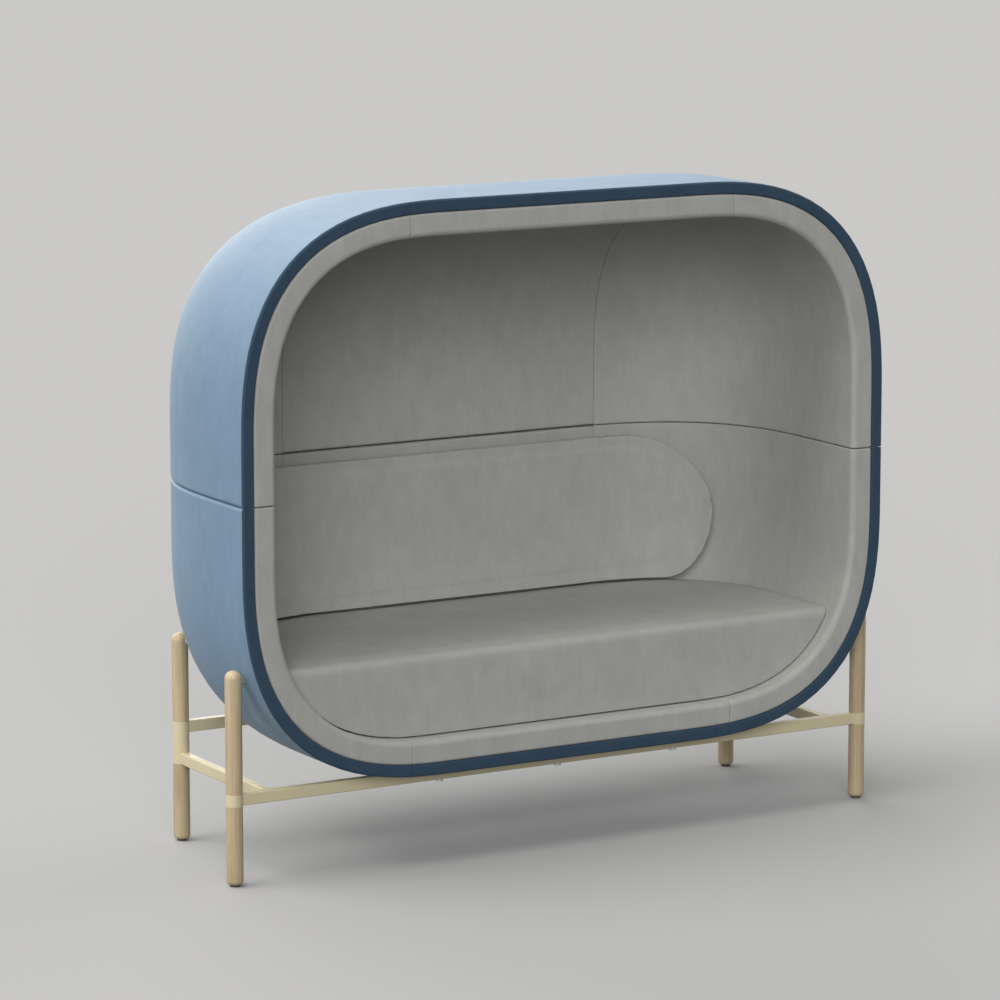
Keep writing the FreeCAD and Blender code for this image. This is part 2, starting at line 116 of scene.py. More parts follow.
def cut(obj, point, normal, fill=True):
    # drops what lies on the side that the normal points to
    pick(obj, "VERT", lambda corners: True)
    bpy.ops.mesh.bisect(plane_co=point, plane_no=normal, use_fill=fill, clear_outer=True)
    objectMode()


def addBlock(name, low, high):
    bpy.ops.object.select_all(action="DESELECT")
    low, high = Vector(low), Vector(high)
    bpy.ops.mesh.primitive_cube_add(size=1, location=(low + high) / 2, scale=high - low)
    obj = bpy.context.object
    obj.name = name
    bpy.ops.object.transform_apply(location=True, rotation=True, scale=True)
    return obj


def roundCorners(obj, test, corner):
    # the wide corners of the shell, which are a little squarer than a circle
    pick(obj, "EDGE", test)
    bpy.ops.mesh.bevel(offset=corner, segments=shell["steps"], profile=shell["roundness"], affect="EDGES",
                       clamp_overlap=False)
    objectMode()


def roundEdges(obj, test, radius, segments):
    pick(obj, "EDGE", test)
    bpy.ops.mesh.bevel(offset=radius, segments=segments, profile=0.5, affect="EDGES", clamp_overlap=True)
    objectMode()


def roundedForm(name, inset, backInset, frontY, corner, openFront=True):
    low = (-shell["halfWidth"] + inset, frontY, shell["bottom"] + inset)
    high = (shell["halfWidth"] - inset, shell["back"] - backInset, shell["top"] - inset)
    obj = addBlock(name, low, high)
    roundCorners(obj, lambda corners: not all(isAt(c.y, frontY) for c in corners), corner)
    if openFront:
        pick(obj, "FACE", lambda corners: all(isAt(c.y, frontY) for c in corners))
        bpy.ops.mesh.delete(type="FACE")
        objectMode()
    return obj


def applyModifier(obj, kind, **settings):
    activate(obj)
    modifier = obj.modifiers.new(kind.title(), kind)
    for key, value in settings.items():
        setattr(modifier, key, value)
    bpy.ops.object.modifier_apply(modifier=modifier.name)


def dress(obj, material, slotName, *replaced, body="sofa", crisp=True):
    obj.data.materials.clear()
    obj.data.materials.append(material)
    activate(obj)
    bpy.ops.object.shade_smooth_by_angle(angle=smoothAngle)
    if crisp:
        # flat faces stay flat beside a round
        applyModifier(obj, "WEIGHTED_NORMAL", weight=100, keep_sharp=True)
    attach(obj, body)
    if replaced:
        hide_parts(*replaced)


# Materials

def linkChain(tree, *pairs):
    for output, inputSocket in pairs:
        tree.links.new(output, inputSocket)


def feed(tree, value, socket):
    # a number or a colour is set on the socket, and anything else is linked to it
    if isinstance(value, (int, float, tuple)):
        socket.default_value = value
    else:
        tree.links.new(value, socket)


def mathNode(tree, operation, first, second=None):
    node = tree.nodes.new("ShaderNodeMath")
    node.operation = operation
    feed(tree, first, node.inputs[0])
    if second is not None:
        feed(tree, second, node.inputs[1])
    return node.outputs[0]


def plus(tree, total, value, weight):
    return mathNode(tree, "ADD", total, mathNode(tree, "MULTIPLY", value, weight))


def limited(tree, value):
    # keeps a mask between 0 and 1
    return mathNode(tree, "MAXIMUM", mathNode(tree, "MINIMUM", value, 1.0), 0.0)


def blendValue(tree, factor, first, second):
    node = tree.nodes.new("ShaderNodeMix")
    node.data_type = "FLOAT"
    for index, value in ((0, factor), (2, first), (3, second)):
        feed(tree, value, node.inputs[index])
    return node.outputs[0]


def blendColor(tree, factor, first, second):
    node = tree.nodes.new("ShaderNodeMix")
    node.data_type = "RGBA"
    for index, value in ((0, factor), (6, first), (7, second)):
        feed(tree, value, node.inputs[index])
    return node.outputs[2]


def noiseNode(tree, vector, scale=1.0, detail=2.0, roughness=0.5):
    node = tree.nodes.new("ShaderNodeTexNoise")
    feed(tree, scale, node.inputs["Scale"])
    node.inputs["Detail"].default_value = detail
    node.inputs["Roughness"].default_value = roughness
    tree.links.new(vector, node.inputs["Vector"])
    return node.outputs["Fac"]


def stretched(tree, vector, scale):
    node = tree.nodes.new("ShaderNodeMapping")
    node.inputs["Scale"].default_value = scale
    tree.links.new(vector, node.inputs["Vector"])
    return node.outputs["Vector"]


def ramp(tree, value, span):
    node = tree.nodes.new("ShaderNodeMapRange")
    node.inputs["From Min"].default_value = span[0]
    node.inputs["From Max"].default_value = span[1]
    tree.links.new(value, node.inputs["Value"])
    return node.outputs["Result"]


def newGroup(name, **inputs):
    # each group puts out the colour, roughness and height of a surface
    group = bpy.data.node_groups.new(name, "ShaderNodeTree")
    for socketName, value in inputs.items():
        kind = "NodeSocketColor" if isinstance(value, tuple) else "NodeSocketFloat"
        socket = group.interface.new_socket(name=socketName, in_out="INPUT", socket_type=kind)
        socket.default_value = value
    for socketName in ("color", "roughness", "height"):
        kind = "NodeSocketColor" if socketName == "color" else "NodeSocketFloat"
        group.interface.new_socket(name=socketName, in_out="OUTPUT", socket_type=kind)
    return group, group.nodes.new("NodeGroupInput"), group.nodes.new("NodeGroupOutput")


def putOut(group, source, target, tone, rough, height):
    color = blendColor(group, tone, source.outputs["dark"], source.outputs["light"])
    linkChain(group, (color, target.inputs["color"]), (rough, target.inputs["roughness"]),
              (height, target.inputs["height"]))


# scales are per metre, and a yarn's are across and along it
# tone, rough and height say how much a pattern counts
woolLook = {
    "streakScale": (38.0, 15.0), "slubScale": (300.0, 38.0), "fleckScale": 900.0, "cloudScale": 9.0,
    "slubSpan": (0.58, 0.76), "levelSpan": (0.55, 0.85),
    "streakTone": 0.75, "cloudTone": 0.4, "fleckTone": 0.5, "weaveTone": 0.12, "darker": 0.4,
    "fleckRough": 0.2, "slubHeight": 0.8, "fleckHeight": 0.6,
}


def makeClothGroup():
    # woven wool: plain weave, flecked yarn and upright slubs, laid on each face along its own plane
    group, source, target = newGroup("wovenWool", dark=(0.1, 0.1, 0.1, 1), light=(0.3, 0.3, 0.3, 1),
                                     threadsPerMetre=650.0, slubs=0.5, matte=0.78)
    place = group.nodes.new("ShaderNodeTexCoord").outputs["Object"]
    facing = group.nodes.new("ShaderNodeNewGeometry").outputs["Normal"]
    xyz = group.nodes.new("ShaderNodeSeparateXYZ")
    normal = group.nodes.new("ShaderNodeSeparateXYZ")
    linkChain(group, (place, xyz.inputs[0]), (facing, normal.inputs[0]))
    nx, ny, nz = (mathNode(group, "ABSOLUTE", normal.outputs[i]) for i in range(3))
    isLevel = mathNode(group, "GREATER_THAN", nz, mathNode(group, "MAXIMUM", nx, ny))
    isSide = mathNode(group, "MULTIPLY", mathNode(group, "GREATER_THAN", nx, ny),
                      mathNode(group, "SUBTRACT", 1.0, isLevel))
    across = blendValue(group, isSide, xyz.outputs[0], xyz.outputs[1])
    along = blendValue(group, isLevel, xyz.outputs[2], xyz.outputs[1])

    pitch = mathNode(group, "MULTIPLY", source.outputs["threadsPerMetre"], math.pi)
    warp = mathNode(group, "SINE", mathNode(group, "MULTIPLY", across, pitch))
    weft = mathNode(group, "SINE", mathNode(group, "MULTIPLY", along, pitch))
    over = mathNode(group, "GREATER_THAN", mathNode(group, "MULTIPLY", warp, weft), 0.0)
    weave = blendValue(group, over, mathNode(group, "ABSOLUTE", warp), mathNode(group, "ABSOLUTE", weft))

    levelness = ramp(group, nz, woolLook["levelSpan"])

    def yarnNoise(scale, detail, roughness):
        # upright on walls, and from front to back where the cloth lies level
        acrossScale, alongScale = scale
        wall = stretched(group, place, (acrossScale, acrossScale, alongScale))
        level = stretched(group, place, (acrossScale, alongScale, acrossScale))
        return blendValue(group, levelness, noiseNode(group, wall, detail=detail, roughness=roughness),
                          noiseNode(group, level, detail=detail, roughness=roughness))

    streak = yarnNoise(woolLook["streakScale"], detail=4.0, roughness=0.6)
    slub = yarnNoise(woolLook["slubScale"], detail=2.0, roughness=0.5)
    slubMask = mathNode(group, "MULTIPLY", ramp(group, slub, woolLook["slubSpan"]), source.outputs["slubs"])
    fleck = noiseNode(group, place, woolLook["fleckScale"], detail=3.0, roughness=0.6)
    cloud = noiseNode(group, place, woolLook["cloudScale"], detail=3.0, roughness=0.55)

    tone = mathNode(group, "MULTIPLY", streak, woolLook["streakTone"])
    tone = plus(group, tone, cloud, woolLook["cloudTone"])
    tone = plus(group, tone, fleck, woolLook["fleckTone"])
    tone = plus(group, tone, weave, woolLook["weaveTone"])
    tone = mathNode(group, "SUBTRACT", tone, mathNode(group, "ADD", slubMask, woolLook["darker"]))
    rough = plus(group, source.outputs["matte"], fleck, woolLook["fleckRough"])
    height = plus(group, weave, slubMask, woolLook["slubHeight"])
    height = plus(group, height, fleck, woolLook["fleckHeight"])
    putOut(group, source, target, limited(group, tone), rough, height)
    return group


grainLook = {
    "ringScale": (95.0, 60.0, 2.6), "ringCount": 26.0, "poreScale": (900.0, 900.0, 26.0),
    "poreSpan": (0.56, 0.72), "patchScale": (14.0, 14.0, 3.0),
    "lighter": 0.1, "ringTone": 0.12, "poreTone": 0.25, "matte": 0.42, "poreRough": 0.25, "ringHeight": 0.15,
}


def makeGrainGroup():
    # pale open-grained timber, the grain upright
    group, source, target = newGroup("uprightGrain", dark=(0.3, 0.2, 0.1, 1), light=(0.6, 0.5, 0.4, 1))
    place = group.nodes.new("ShaderNodeTexCoord").outputs["Object"]
    rings = noiseNode(group, stretched(group, place, grainLook["ringScale"]), detail=3.0, roughness=0.55)
    bands = mathNode(group, "SINE", mathNode(group, "MULTIPLY", rings, grainLook["ringCount"]))
    pores = noiseNode(group, stretched(group, place, grainLook["poreScale"]), detail=2.0)
    poreMask = ramp(group, pores, grainLook["poreSpan"])
    patch = noiseNode(group, stretched(group, place, grainLook["patchScale"]), detail=2.0)
    tone = plus(group, grainLook["lighter"], bands, grainLook["ringTone"])
    tone = mathNode(group, "ADD", tone, patch)
    tone = mathNode(group, "SUBTRACT", tone, mathNode(group, "MULTIPLY", poreMask, grainLook["poreTone"]))
    rough = plus(group, grainLook["matte"], poreMask, grainLook["poreRough"])
    height = mathNode(group, "MULTIPLY", bands, grainLook["ringHeight"])
    height = mathNode(group, "SUBTRACT", height, poreMask)
    putOut(group, source, target, limited(group, tone), rough, height)
    return group


speckLook = {"patchScale": 11.0, "speckTone": 0.35, "patchTone": 0.65, "patchRough": 0.14}


def makeSpeckGroup():
    # fine surface of paint, plastic, rubber and plated steel
    group, source, target = newGroup("fineSpeck", dark=(0.1, 0.1, 0.1, 1), light=(0.3, 0.3, 0.3, 1),
                                     size=900.0, gloss=0.5)
    place = group.nodes.new("ShaderNodeTexCoord").outputs["Object"]
    speck = noiseNode(group, place, source.outputs["size"], detail=2.0)
    patch = noiseNode(group, place, speckLook["patchScale"], detail=3.0)
    tone = mathNode(group, "MULTIPLY", speck, speckLook["speckTone"])
    tone = plus(group, tone, patch, speckLook["patchTone"])
    rough = plus(group, source.outputs["gloss"], patch, speckLook["patchRough"])
    putOut(group, source, target, tone, rough, speck)
    return group


def makeMaterial(name, group, values, bump, bumpSize, **sockets):
    material = bpy.data.materials.new(name)
    material.use_nodes = True
    tree = material.node_tree
    shader = tree.nodes["Principled BSDF"]
    surface = tree.nodes.new("ShaderNodeGroup")
    surface.node_tree = group
    for key, value in values.items():
        surface.inputs[key].default_value = value
    relief = tree.nodes.new("ShaderNodeBump")
    relief.inputs["Strength"].default_value = bump
    relief.inputs["Distance"].default_value = bumpSize
    linkChain(tree, (surface.outputs["color"], shader.inputs["Base Color"]),
              (surface.outputs["roughness"], shader.inputs["Roughness"]),
              (surface.outputs["height"], relief.inputs["Height"]),
              (relief.outputs[0], shader.inputs["Normal"]))
    for key, value in sockets.items():
        shader.inputs[key.replace("_", " ")].default_value = value
    return material


clothGroup = makeClothGroup()
grainGroup = makeGrainGroup()
speckGroup = makeSpeckGroup()

finishes = {
    "cover": makeMaterial(
        "blueWool", clothGroup,
        {"dark": (0.102, 0.184, 0.282, 1), "light": (0.17, 0.28, 0.402, 1), "slubs": 0.15, "matte": 0.45},
        bump=0.35, bumpSize=0.0006, Sheen_Weight=0.06, Sheen_Roughness=0.4,
        Sheen_Tint=(1.0, 0.99, 0.97, 1), Specular_IOR_Level=0.6),
    "edge": makeMaterial(
        "navyWool", clothGroup,
        {"dark": (0.026, 0.05, 0.08, 1), "light": (0.042, 0.076, 0.117, 1), "slubs": 0.15},
        bump=0.35, bumpSize=0.0006, Sheen_Weight=0.12, Sheen_Roughness=0.45,
        Sheen_Tint=(0.7, 0.82, 1.0, 1), Specular_IOR_Level=0.15),
    "lining": makeMaterial(
        "greyWool", clothGroup,
        {"dark": (0.315, 0.317, 0.299, 1), "light": (0.455, 0.457, 0.431, 1), "slubs": 0.2},
        bump=0.35, bumpSize=0.0006, Sheen_Weight=0.15, Sheen_Roughness=0.5,
        Sheen_Tint=(1.0, 0.99, 0.96, 1), Specular_IOR_Level=0.1),
    "ash": makeMaterial(
        "oiledAsh", grainGroup, {"dark": (0.28, 0.2, 0.11, 1), "light": (0.55, 0.445, 0.28, 1)},
        bump=0.2, bumpSize=0.0003, Specular_IOR_Level=0.5),
    "plywood": makeMaterial(
        "rawPlywood", grainGroup, {"dark": (0.32, 0.2, 0.1, 1), "light": (0.56, 0.4, 0.24, 1)},
        bump=0.3, bumpSize=0.0004, Specular_IOR_Level=0.3),
    "cream": makeMaterial(
        "creamPaint", speckGroup,
        {"dark": (0.54, 0.48, 0.305, 1), "light": (0.64, 0.57, 0.375, 1), "size": 1400.0, "gloss": 0.32},
        bump=0.12, bumpSize=0.0003),
    "steel": makeMaterial(
        "platedSteel", speckGroup,
        {"dark": (0.42, 0.42, 0.43, 1), "light": (0.62, 0.62, 0.64, 1), "size": 2200.0, "gloss": 0.28},
        bump=0.15, bumpSize=0.0002, Metallic=1.0),
    "glide": makeMaterial(
        "darkPlastic", speckGroup,
        {"dark": (0.018, 0.018, 0.02, 1), "light": (0.045, 0.045, 0.05, 1), "size": 1800.0, "gloss": 0.45},
        bump=0.2, bumpSize=0.0003),
    "clip": makeMaterial(
        "paleNylon", speckGroup,
        {"dark": (0.5, 0.5, 0.46, 1), "light": (0.65, 0.65, 0.6, 1), "size": 1800.0, "gloss": 0.4},
        bump=0.15, bumpSize=0.0003),
    "rubber": makeMaterial(
        "blackRubber", speckGroup,
        {"dark": (0.012, 0.012, 0.012, 1), "light": (0.035, 0.035, 0.036, 1), "size": 1200.0, "gloss": 0.6},
        bump=0.3, bumpSize=0.0004),
}
print("materials made:", len(finishes))


# Outer cover, two halves that meet at the level seam

cover = {"thickness": 0.0122, "bandDepth": 0.006, "bandGap": 0.0008, "seamRound": 0.008, "seamGap": 0.0004}


def makeCovers():
    startY = shell["front"] + cover["bandDepth"] + cover["bandGap"]
    whole = roundedForm("wholeCover", 0, 0, startY, shell["corner"])
    for node, side in (("hood_cover", 1), ("tub_cover", -1)):
        half = copyOf(whole, camelName(node))
        seamZ = shell["seamZ"] + side * cover["seamGap"] / 2
        cut(half, (0, 0, seamZ), (0, 0, -side), fill=False)
        applyModifier(half, "SOLIDIFY", thickness=cover["thickness"], offset=-1, use_even_offset=True)
        roundEdges(half, lambda corners: all(isAt(c.z, seamZ) for c in corners) and onOutline(corners),
                   cover["seamRound"], segments=6)
        dress(half, finishes["cover"], "cover_fabric", node)
    discard(whole)


def onOutline(corners):
    # on the outer skin: the inner skin of the cover is a thickness further in
    near = cover["thickness"] / 2
    return any(all(test(c) for c in corners) for test in (
        lambda c: c.x > shell["halfWidth"] - near, lambda c: c.x < -shell["halfWidth"] + near,
        lambda c: c.y > shell["back"] - near)) or all(distanceIn(c) < near for c in corners)


def distanceIn(point):
    # how far a point at the seam's height lies inside the plan of the shell, roughly
    centreX = shell["halfWidth"] - shell["corner"]
    centreY = shell["back"] - shell["corner"]
    dx, dy = max(abs(point.x) - centreX, 0.0), max(point.y - centreY, 0.0)
    if dx + dy == 0:
        return shell["corner"]
    return shell["corner"] - (dx ** cornerPower + dy ** cornerPower) ** (1 / cornerPower)


makeCovers()
print("covers made")


# Edge band, six lengths round the open front

band = {"width": 0.0278, "depth": 0.006, "faceRound": 0.005, "endRound": 0.0025, "loopSlack": 0.004}


def makeBands():
    front = shell["front"]
    ring = addBlock("wholeBand", (-shell["halfWidth"], front, shell["bottom"]),
                    (shell["halfWidth"], front + band["depth"], shell["top"]))
    roundCorners(ring, lambda corners: isAlong(corners, 1), shell["corner"])
    pick(ring, "FACE", lambda corners: all(isAt(c.y, corners[0].y) for c in corners))
    bpy.ops.mesh.inset(thickness=band["width"], use_individual=True)
    bpy.ops.mesh.bridge_edge_loops()
    objectMode()
    roundEdges(ring, lambda corners: all(isAt(c.y, front) for c in corners) and isLoopEdge(corners),
               band["faceRound"], segments=5)
    for level, up, side in panels:
        node = level + "_" + side + "_edge_band"
        piece = copyOf(ring, camelName(node))
        cutPanel(piece, up, side)
        roundEnds(piece, up, side, band["endRound"], band["endRound"])
        dress(piece, finishes["edge"], "edge_fabric", node)
    discard(ring)


def isLoopEdge(corners):
    # the ends of an edge round the ring lie about as deep, and those of one across its face don't
    return isAt(outlineDepth(corners[0]), outlineDepth(corners[1]), band["loopSlack"])


def outlineDepth(point):
    # how far a point of the front lies inside the front outline, roughly
    centreX = shell["halfWidth"] - shell["corner"]
    middleZ = (shell["bottom"] + shell["top"]) / 2
    centreZ = shell["top"] - middleZ - shell["corner"]
    dx, dz = abs(point.x) - centreX, abs(point.z - middleZ) - centreZ
    if dx <= 0 or dz <= 0:
        return shell["corner"] - max(dx, dz)
    return shell["corner"] - (dx ** cornerPower + dz ** cornerPower) ** (1 / cornerPower)


def levelSeam(up, side):
    # the seam lies more open across the back than round the sides
    return shell["seamZ"] + up * shell["middleGap" if side == "middle" else "levelGap"] / 2


def cutPanel(piece, up, side):
    gap = shell["uprightGap"] / 2
    cut(piece, (0, 0, levelSeam(up, side)), (0, 0, -up))
    if side == "middle":
        cut(piece, (shell["seamX"] - gap, 0, 0), (1, 0, 0))
        cut(piece, (-shell["seamX"] + gap, 0, 0), (-1, 0, 0))
    else:
        sign = -1 if side == "left" else 1
        cut(piece, (sign * (shell["seamX"] + gap), 0, 0), (-sign, 0, 0))


def roundEnds(piece, up, side, levelRound, uprightRound):
    gap = shell["uprightGap"] / 2
    seamZ = levelSeam(up, side)
    seams = {"left": [-shell["seamX"] - gap], "middle": [-shell["seamX"] + gap, shell["seamX"] - gap],
             "right": [shell["seamX"] + gap]}[side]
    roundEdges(piece, lambda corners: all(isAt(c.z, seamZ) for c in corners), levelRound, segments=4)
    for x in seams:
        roundEdges(piece, lambda corners: all(isAt(c.x, x) for c in corners), uprightRound, segments=3)


makeBands()
print("edge bands made")


# Lining of the cabin, six padded panels with a rolled lip

lining = {"wall": 0.0795, "backWall": 0.058, "corner": 0.403, "outerInset": 0.0281, "outerCorner": 0.4677,
          "lipRound": 0.013, "rimRound": 0.005, "levelRound": 0.006, "uprightRound": 0.002}


def makeLining():
    front = shell["front"]

    def onFront(corners):
        return all(isAt(c.y, front) for c in corners)

    inner = roundedForm("wholeLining", lining["wall"], lining["backWall"], front, lining["corner"])
    pick(inner, "FACE", lambda corners: True)
    bpy.ops.mesh.flip_normals()
    objectMode()
    outer = roundedForm("liningBack", lining["outerInset"], lining["outerInset"], front,
                        lining["outerCorner"])
    activate(inner)
    outer.select_set(True)
    bpy.ops.object.join()
    pick(inner, "EDGE", onFront)
    bpy.ops.mesh.bridge_edge_loops()
    objectMode()
    middle = (lining["wall"] + lining["outerInset"]) / 2
    roundEdges(inner, lambda corners: onFront(corners) and all(outlineDepth(c) > middle for c in corners),
               lining["lipRound"], segments=5)
    roundEdges(inner, lambda corners: onFront(corners) and all(outlineDepth(c) < middle for c in corners),
               lining["rimRound"], segments=3)
    for level, up, side in panels:
        node = level + "_" + side + "_lining"
        panel = copyOf(inner, camelName(node))
        cutPanel(panel, up, side)
        roundEnds(panel, up, side, lining["levelRound"], lining["uprightRound"])
        dress(panel, finishes["lining"], "lining_fabric", node)
    discard(inner)


makeLining()
print("lining made")


# Foam under cloth

swelling = {"smooth": 0.5, "smoothRounds": 2, "frames": 12, "quality": 3}


def plump(obj, voxel, pressure, cap, isFree):
    # the free faces swell a little, and the rest stays where it is
    activate(obj)
    obj.data.remesh_voxel_size = voxel
    bpy.ops.object.voxel_remesh()
    applyModifier(obj, "SMOOTH", factor=swelling["smooth"], iterations=swelling["smoothRounds"])
    rest = [v.co.copy() for v in obj.data.vertices]
    pinned = obj.vertex_groups.new(name="pinned")
    pinned.add([i for i, co in enumerate(rest) if not isFree(co)], 1.0, "REPLACE")
    clothModifier = obj.modifiers.new("Cloth", "CLOTH")
    settings = clothModifier.settings
    settings.quality = swelling["quality"]
    settings.use_pressure = True
    settings.uniform_pressure_force = pressure
    settings.vertex_group_mass = pinned.name
    settings.effector_weights.gravity = 0
    for step in range(1, swelling["frames"] + 1):
        scene.frame_set(step)
    activate(obj)
    bpy.ops.object.modifier_apply(modifier=clothModifier.name)
    scene.frame_set(1)
    for vertex, start in zip(obj.data.vertices, rest):
        move = vertex.co - start
        if move.length > cap:
            vertex.co = start + move * (cap / move.length)
    obj.vertex_groups.clear()


# Seat cushion, which fills the bottom of the cabin

seat = {"clearance": 0.0024, "top": 0.4635, "front": -0.2885, "frontRound": 0.019, "rimRound": 0.006,
        "skin": 0.002, "voxel": 0.006, "pressure": 4.0, "swell": 0.004}


def makeSeat():
    gap = seat["clearance"]
    obj = roundedForm("seatCushion", lining["wall"] + gap, lining["backWall"] + gap, shell["front"],
                      lining["corner"] - gap, openFront=False)
    cut(obj, (0, 0, seat["top"]), (0, 0, 1))
    cut(obj, (0, seat["front"], 0), (0, -1, 0))

    def onTop(corners):
        return all(isAt(c.z, seat["top"]) for c in corners)

    def onFront(corners):
        return all(isAt(c.y, seat["front"]) for c in corners)

    roundEdges(obj, lambda corners: onTop(corners) and onFront(corners), seat["frontRound"], segments=6)
    roundEdges(obj, onFront, seat["rimRound"], segments=3)
    plump(obj, seat["voxel"], seat["pressure"], seat["swell"],
          lambda c: c.z > seat["top"] - seat["skin"] and c.y > seat["front"] + seat["frontRound"])
    dress(obj, finishes["lining"], "lining_fabric", "seat_cushion", crisp=False)


makeSeat()
print("seat cushion made")


# Back cushion, bent round the back of the cabin

# the ends are round above the widest height and drawn out to an oval below it
pill = {"halfWidth": 0.633, "widestZ": 0.64, "upperRound": 0.166, "lowerRound": 0.105, "strip": 0.0005,
        "foot": 0.4752, "blockFront": -0.06, "blockBack": 0.3, "roomReach": 0.1, "hollowReach": 0.2,
        "thickness": 0.045, "clearance": 0.001, "backInset": 0.022, "backDepth": 0.025, "rim": 0.028,
        "voxel": 0.005, "pressure": 4.0, "swell": 0.003}


def pillBlock(name, inset):
    upper, lower, widest = pill["upperRound"] - inset, pill["lowerRound"] - inset, pill["widestZ"]
    half = pill["halfWidth"] - inset
    obj = addBlock(name, (-half, pill["blockFront"], widest - lower),
                   (half, pill["blockBack"], widest + upper))
    roundEdges(obj, lambda corners: isAlong(corners, 1) and corners[0].z > widest, upper, segments=28)
    # a narrow strip stays between the upper and the lower rounds
    roundEdges(obj, lambda corners: isAlong(corners, 1) and isAt(corners[0].z, widest - lower),
               lower - pill["strip"], segments=24)
    pick(obj, "VERT", lambda corners: corners[0].z < widest - pill["strip"] / 2)
    stretch = (widest - pill["foot"] - inset) / lower
    bpy.ops.transform.resize(value=(1, 1, stretch), center_override=(0, 0, widest))
    objectMode()
    return obj


def makeBackCushion():
    # the back of the pad is smaller than its face, so that a dark line runs round it
    obj = pillBlock("backCushion", 0.0)
    back = pillBlock("cushionBack", pill["backInset"])
    for piece, gap in ((back, pill["clearance"]), (obj, pill["clearance"] + pill["backDepth"])):
        room = roundedForm("pillRoom", lining["wall"] + gap, lining["backWall"] + gap,
                           shell["front"] - pill["roomReach"], lining["corner"] - gap, openFront=False)
        applyModifier(piece, "BOOLEAN", operation="INTERSECT", object=room, solver="EXACT")
        discard(room)
    applyModifier(obj, "BOOLEAN", operation="UNION", object=back, solver="EXACT")
    discard(back)
    thick = pill["clearance"] + pill["thickness"]
    hollow = roundedForm("pillHollow", lining["wall"] + thick, lining["backWall"] + thick,
                         shell["front"] - pill["hollowReach"], lining["corner"] - thick, openFront=False)
    applyModifier(obj, "BOOLEAN", operation="DIFFERENCE", object=hollow, solver="EXACT")
    discard(hollow)

    def onFace(c):
        # well inside the rim, which stays as it is so that the outline is smooth
        upper, widest = pill["upperRound"], pill["widestZ"]
        sideways = max(abs(c.x) - (pill["halfWidth"] - upper), 0.0)
        upright = (c.z - widest) * (1.0 if c.z > widest else upper / (widest - pill["foot"]))
        return math.hypot(sideways, upright) < upper - pill["rim"]

    plump(obj, pill["voxel"], pill["pressure"], pill["swell"], onFace)
    dress(obj, finishes["lining"], "lining_fabric", "back_cushion", crisp=False)


makeBackCushion()
print("back cushion made")


# Steel underframe: rails with rounded corners, and collars a hair wider than the legs

frameSteel = {"railRound": 0.0025, "collarRound": 0.0008, "collarProud": 0.0003, "collarSteps": 64,
              "intoCollar": 0.004}


def makeRails():
    for node in ("front_rail", "rear_rail", "left_cross_rail", "right_cross_rail"):
        low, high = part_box(node)
        axis = 1 if node.endswith("cross_rail") else 0
        if axis == 1:
            high.y += frameSteel["intoCollar"]
        else:
            low.x -= frameSteel["intoCollar"]
            high.x += frameSteel["intoCollar"]
        rail = addBlock(camelName(node), low, high)
        roundEdges(rail, lambda corners: isAlong(corners, axis), frameSteel["railRound"], segments=4)
        dress(rail, finishes["cream"], "cream_steel", node)
    for place in legPlaces:
        low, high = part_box(place + "_collar")
        radius = (high.x - low.x) / 2 + frameSteel["collarProud"]
        bpy.ops.object.select_all(action="DESELECT")
        bpy.ops.mesh.primitive_cylinder_add(vertices=frameSteel["collarSteps"], radius=radius,
                                            depth=high.z - low.z, location=(low + high) / 2)
        collar = bpy.context.object
        collar.name = camelName(place + "_collar")
        bpy.ops.object.transform_apply(location=True, rotation=True, scale=True)
        roundEdges(collar, lambda corners: not isAlong(corners, 2), frameSteel["collarRound"], segments=3)
        dress(collar, finishes["cream"], "cream_steel", place + "_collar")


# Spacers between the legs and the shell, let into both

spacer = {"radius": 0.011, "steps": 48, "height": 0.4517, "legRadius": 0.0183, "intoLeg": 0.004,
          "reach": 0.016, "round": 0.0008, "rearAngle": 38.3}


def makeSpacers():
    sleeves = []
    for place in legPlaces:
        low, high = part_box(place + "_upper_leg")
        side = 1 if place.endswith("right") else -1
        angle = math.radians(spacer["rearAngle"]) if place.startswith("rear") else 0.0
        inward = Vector((-side * math.cos(angle), -math.sin(angle), 0))
        length = spacer["intoLeg"] + spacer["reach"]
        middle = spacer["legRadius"] - spacer["intoLeg"] + length / 2
        centre = Vector(((low.x + high.x) / 2, (low.y + high.y) / 2, spacer["height"])) + inward * middle
        bpy.ops.object.select_all(action="DESELECT")
        bpy.ops.mesh.primitive_cylinder_add(vertices=spacer["steps"], radius=spacer["radius"], depth=length,
                                            location=centre,
                                            rotation=inward.to_track_quat("Z", "Y").to_euler())
        sleeve = bpy.context.object
        bpy.ops.object.transform_apply(location=True, rotation=True, scale=True)
        sleeves.append(sleeve)
    activate(sleeves[0])
    for sleeve in sleeves[1:]:
        sleeve.select_set(True)
    bpy.ops.object.join()
    joined = bpy.context.object
    joined.name = "legSpacers"
    # only the edges of the rims are this short
    roundEdges(joined, lambda corners: (corners[0] - corners[1]).length < spacer["radius"] / 2,
               spacer["round"], segments=2)
    dress(joined, finishes["steel"], "steel", "leg_spacers")


makeRails()
makeSpacers()
print("underframe made")


# CAD pieces that stay get their finish

def finishCadNodes():
    slotFinish = {"plywood": "plywood", "ash": "ash", "steel": "steel", "glide_plastic": "glide",
                  "clip_plastic": "clip", "rubber": "rubber", "cream_steel": "cream",
                  "lining_fabric": "lining", "cover_fabric": "cover", "edge_fabric": "edge"}
    for entry in frame["record"]["subparts"]:
        node = nodes[entry["node"]]
        node.data.materials.clear()
        node.data.materials.append(finishes[slotFinish[entry["material_slot"]]])


finishCadNodes()
print("CAD pieces finished")


# Floor, light and camera

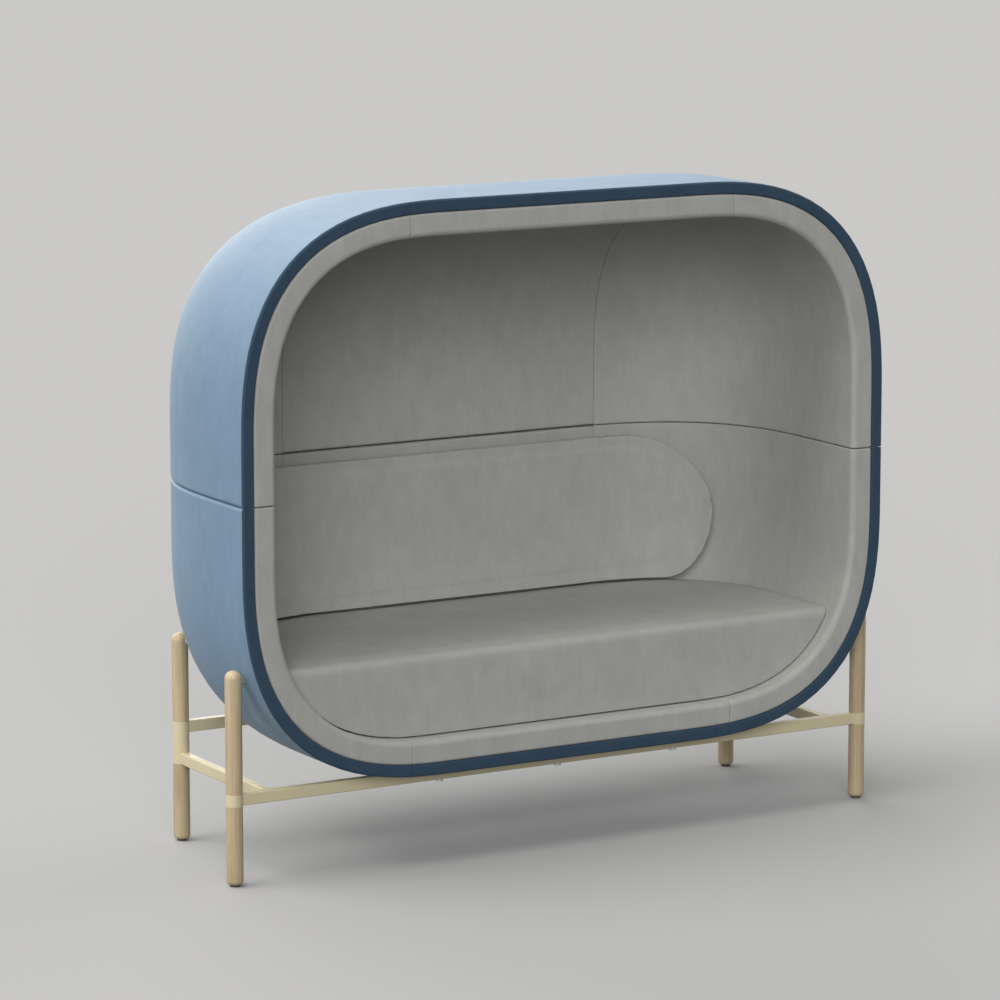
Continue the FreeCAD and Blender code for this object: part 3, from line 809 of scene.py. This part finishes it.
# each lamp is where it shines from, its strength, how soft it is in degrees and its colour
studio = {"floor": (0.41, 0.41, 0.41, 1), "bounce": (0.1, 0.1, 0.1, 1), "sky": (0.24, 0.24, 0.24, 1),
          "backdrop": (0.57, 0.565, 0.555, 1), "floorSize": 160.0, "floorRoughness": 0.7,
          "lamps": {"highLeft": ((-0.46, 0.1, 0.88), 2.3, 50.0, (1.0, 0.98, 0.95)),
                    "left": ((-0.98, 0.12, 0.14), 1.0, 45.0, (1.0, 1.0, 1.0)),
                    "front": ((-0.46, -0.81, 0.36), 1.78, 35.0, (1.0, 1.0, 1.0)),
                    "highRight": ((0.8, 0.1, 0.5), 0.6, 50.0, (1.0, 1.0, 1.0)),
                    "back": ((0.1, 0.9, 0.34), 1.8, 50.0, (1.0, 0.97, 0.93))}}


def seenMask(tree):
    path = tree.nodes.new("ShaderNodeLightPath").outputs
    return mathNode(tree, "MAXIMUM", path["Is Camera Ray"],
                    mathNode(tree, "MAXIMUM", path["Is Glossy Ray"], path["Is Transmission Ray"]))


def makeStudio():
    bpy.ops.object.select_all(action="DESELECT")
    bpy.ops.mesh.primitive_plane_add(size=studio["floorSize"])
    floor = bpy.context.object
    floor.name = "studioFloor"
    material = bpy.data.materials.new("studioFloor")
    material.use_nodes = True
    tree = material.node_tree
    shader = tree.nodes["Principled BSDF"]
    # floor and backdrop are pale where they are seen, and darker where they light the sofa
    tone = blendColor(tree, seenMask(tree), studio["bounce"], studio["floor"])
    linkChain(tree, (tone, shader.inputs["Base Color"]))
    shader.inputs["Roughness"].default_value = studio["floorRoughness"]
    shader.inputs["Specular IOR Level"].default_value = 0.0
    floor.data.materials.append(material)

    world = bpy.data.worlds.new("studioWorld")
    scene.world = world
    world.use_nodes = True
    around = world.node_tree
    tone = blendColor(around, seenMask(around), studio["sky"], studio["backdrop"])
    linkChain(around, (tone, around.nodes["Background"].inputs["Color"]))

    for name, (place, strength, softness, color) in studio["lamps"].items():
        light = bpy.data.lights.new(name, "SUN")
        light.energy = strength
        light.color = color
        light.angle = math.radians(softness)
        lamp = bpy.data.objects.new(name, light)
        lamp.rotation_euler = (-Vector(place)).to_track_quat("-Z", "Y").to_euler()
        scene.collection.objects.link(lamp)
    scene.view_settings.view_transform = "Standard"


photoView = {"place": (-5.2211, -8.9363, 2.5367), "toward": (0.49699, 0.85050, -0.17221), "lens": 169.0,
             "sensor": 36.0, "farthest": 300.0}


def makeCamera():
    data = bpy.data.cameras.new("photoCamera")
    data.lens = photoView["lens"]
    data.sensor_width = photoView["sensor"]
    data.clip_end = photoView["farthest"]
    camera = bpy.data.objects.new("photoCamera", data)
    camera.location = photoView["place"]
    camera.rotation_euler = Vector(photoView["toward"]).to_track_quat("-Z", "Y").to_euler()
    scene.collection.objects.link(camera)
    scene.camera = camera


makeStudio()
makeCamera()
print("studio made")
